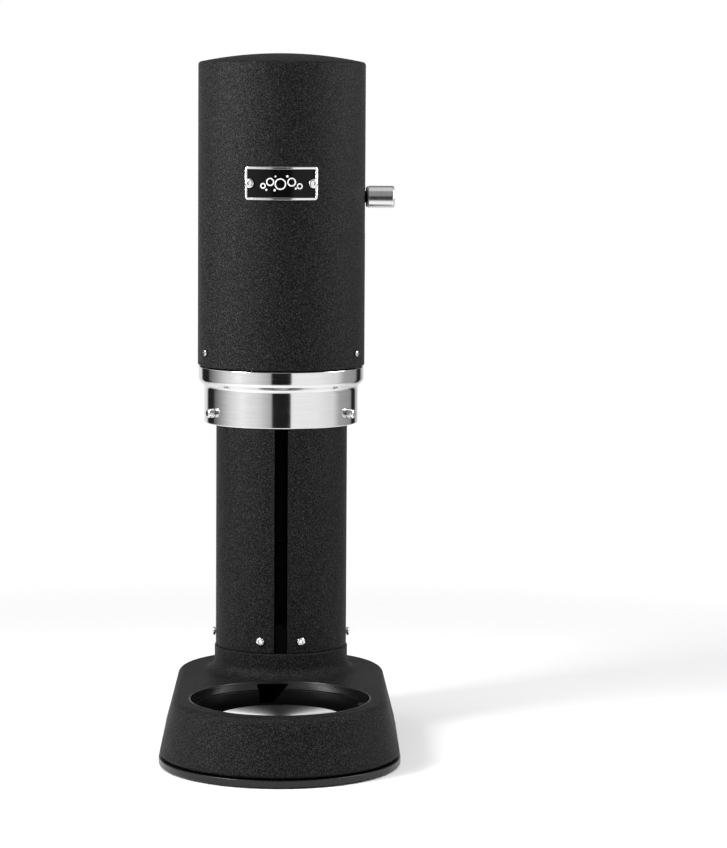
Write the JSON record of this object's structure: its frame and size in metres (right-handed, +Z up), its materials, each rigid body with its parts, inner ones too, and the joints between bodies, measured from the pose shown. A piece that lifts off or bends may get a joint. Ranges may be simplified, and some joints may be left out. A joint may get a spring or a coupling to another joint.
{
  "type": "soda carbonator",
  "caption": "Free-standing soda carbonator: a slotted column on a two-circle base and a head that slides down over the bottle, with a steel locking ring and a side lever.",
  "frame": {"origin": "on the table under the middle of the base, halfway between the nozzle axis and the column axis", "axes": "+Z up, +X to the right as the user sees it, the front of the machine faces -Y"},
  "size_m": [0.1652, 0.2812, 0.4835],
  "materials": {
    "powder_coat": "matt black powder coat with a fine grain",
    "gloss_black": "semi-gloss black",
    "black_plastic": "satin black moulding",
    "steel": "brushed and polished stainless steel",
    "aluminium": "cast or drawn aluminium, satin",
    "dark_lacquer": "black lacquered aluminium",
    "brass": "turned brass",
    "rubber": "matt black rubber"
  },
  "bodies": {
    "stand": {"base_housing": "powder_coat", "column_shell": "powder_coat", "column_cap": "powder_coat", "bottom_plate": "gloss_black", "well_liner": "black_plastic", "catch_left": "black_plastic", "catch_right": "black_plastic", "column_foot_ring": "black_plastic", "slot_end_stop": "black_plastic", "cylinder_cradle": "black_plastic", "guide_rod_left": "steel", "guide_rod_right": "steel", "column_screw_front_left": "steel", "column_screw_front_right": "steel", "column_screw_side_left": "steel", "column_screw_side_right": "steel", "plate_screw_front_left": "steel", "plate_screw_front_right": "steel", "plate_screw_rear_left": "steel", "plate_screw_rear_right": "steel", "gas_cylinder": "dark_lacquer", "valve_socket": "aluminium", "cylinder_valve": "brass", "foot_front_left": "rubber", "foot_front_right": "rubber", "foot_rear_left": "rubber", "foot_rear_right": "rubber", "gas_hose": "rubber"},
    "hatch": {"cylinder_hatch": "black_plastic"},
    "disc": {"drip_disc": "steel"},
    "head": {"head_shell": "powder_coat", "head_base_ring": "black_plastic", "bottle_guard": "steel", "head_plate": "aluminium", "head_spine": "aluminium", "carriage_arm": "aluminium", "carriage_block": "aluminium", "bushing_left": "brass", "bushing_right": "brass", "badge_plate": "gloss_black", "badge_screw_left": "steel", "badge_screw_right": "steel", "shell_screw_left": "steel", "shell_screw_right": "steel", "nozzle_body": "black_plastic", "injector_tube": "steel", "bottle_seal": "rubber", "valve_body": "brass", "valve_spring": "steel", "relief_valve": "brass", "rocker_bracket": "aluminium", "rocker_pin": "steel"},
    "lever": {"lever_slider": "steel", "lever_neck": "black_plastic", "lever_knob": "steel"},
    "rocker": {"valve_rocker": "steel"},
    "plunger": {"valve_plunger": "steel"},
    "lock_ring": {"lock_ring": "steel", "lock_pin_left": "steel", "lock_pin_right": "steel"}
  },
  "joints": [
    {"name": "head_slide", "type": "slide", "parent": "stand", "child": "head", "axis": [0, 0, 1], "range_m": [-0.206, 0]},
    {"name": "lock_ring_twist", "type": "hinge", "parent": "head", "child": "lock_ring", "pos_m": [0, -0.058, 0.25], "axis": [0, 0, 1], "range_deg": [0, 18]},
    {"name": "lever_pull", "type": "slide", "parent": "head", "child": "lever", "axis": [0, 0, 1], "range_m": [-0.022, 0], "stiffness_N_per_m": 300, "springref_m": 0.012, "deforming": ["valve_spring"]},
    {"name": "rocker_tilt", "type": "hinge", "parent": "head", "child": "rocker", "pos_m": [-0.008, -0.058, 0.4715], "axis": [0, 1, 0], "range_deg": [0, 21.9]},
    {"name": "plunger_press", "type": "slide", "parent": "head", "child": "plunger", "axis": [0, 0, 1], "range_m": [-0.0033, 0]},
    {"name": "disc_lift", "type": "slide", "parent": "stand", "child": "disc", "axis": [0, 0, 1], "range_m": [0, 0.06]},
    {"name": "hatch_turn", "type": "hinge", "parent": "stand", "child": "hatch", "pos_m": [0, 0.058, 0.003], "axis": [0, 0, 1], "range_deg": [0, 60]}
  ],
  "couplings": [
    {"joint": "rocker_tilt", "follows": "lever_pull", "rad_per_m": -17.3},
    {"joint": "plunger_press", "follows": "lever_pull", "ratio": 0.145}
  ]
}
